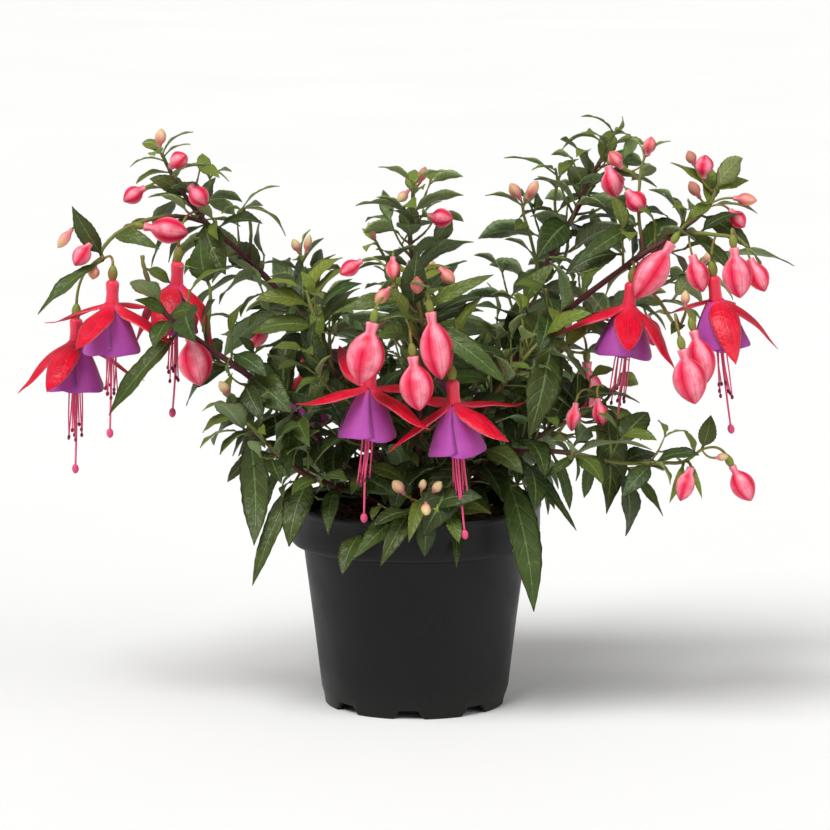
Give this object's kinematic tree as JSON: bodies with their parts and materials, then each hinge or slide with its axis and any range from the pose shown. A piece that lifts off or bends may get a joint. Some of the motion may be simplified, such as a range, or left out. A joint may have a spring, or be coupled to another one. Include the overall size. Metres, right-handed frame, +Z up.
{
  "type": "potted fuchsia",
  "caption": "Bushy trailing fuchsia in a round nursery pot: arching leafy branches with hanging red and violet bell flowers and plump buds.",
  "frame": {"origin": "on the floor under the axis of the pot", "axes": "+Z up along the pot's axis, +X to the right along the plant's longest spread, -Y towards the plant's best side"},
  "size_m": [0.3672, 0.1975, 0.2763],
  "materials": {
    "pot_plastic": "satin black",
    "compost": "damp, crumbly",
    "bark": "flaking bark",
    "foliage": "soft satin",
    "bud": "satin",
    "sepal": "satin",
    "petal": "velvety",
    "stamen": "satin"
  },
  "bodies": {
    "root": {"branch_back_centre": "foliage", "branch_back_left": "foliage", "branch_back_low_left": "foliage", "branch_back_low_right": "foliage", "branch_back_right": "foliage", "branch_centre": "foliage", "branch_front": "foliage", "branch_left_arch": "foliage", "branch_left_front": "foliage", "branch_low_front": "foliage", "branch_low_left": "foliage", "branch_low_right": "foliage", "branch_right_arch": "foliage", "branch_right_front": "foliage", "branch_right_spray": "foliage", "branch_upper_left": "foliage", "branch_upper_right": "foliage", "bud_back_right": "bud", "bud_centre_left": "bud", "bud_centre_low": "bud", "bud_centre_right": "bud", "bud_left_level": "bud", "bud_left_low": "bud", "bud_right_high": "bud", "bud_right_low": "bud", "bud_right_mid": "bud", "bud_right_outer": "bud", "bud_spray": "bud", "compost": "compost", "crown": "bark", "flower_back_centre_calyx": "sepal", "flower_back_centre_corolla": "petal", "flower_back_centre_stamens": "stamen", "flower_back_left_calyx": "sepal", "flower_back_left_corolla": "petal", "flower_back_left_stamens": "stamen", "flower_centre_left_calyx": "sepal", "flower_centre_left_corolla": "petal", "flower_centre_left_stamens": "stamen", "flower_centre_right_calyx": "sepal", "flower_centre_right_corolla": "petal", "flower_centre_right_stamens": "stamen", "flower_left_inner_calyx": "sepal", "flower_left_inner_corolla": "petal", "flower_left_inner_stamens": "stamen", "flower_left_outer_calyx": "sepal", "flower_left_outer_corolla": "petal", "flower_left_outer_stamens": "stamen", "flower_left_shy_calyx": "sepal", "flower_left_shy_corolla": "petal", "flower_left_shy_stamens": "stamen", "flower_right_inner_calyx": "sepal", "flower_right_inner_corolla": "petal", "flower_right_inner_stamens": "stamen", "flower_right_outer_calyx": "sepal", "flower_right_outer_corolla": "petal", "flower_right_outer_stamens": "stamen", "nursery_pot": "pot_plastic"}
  },
  "joints": []
}
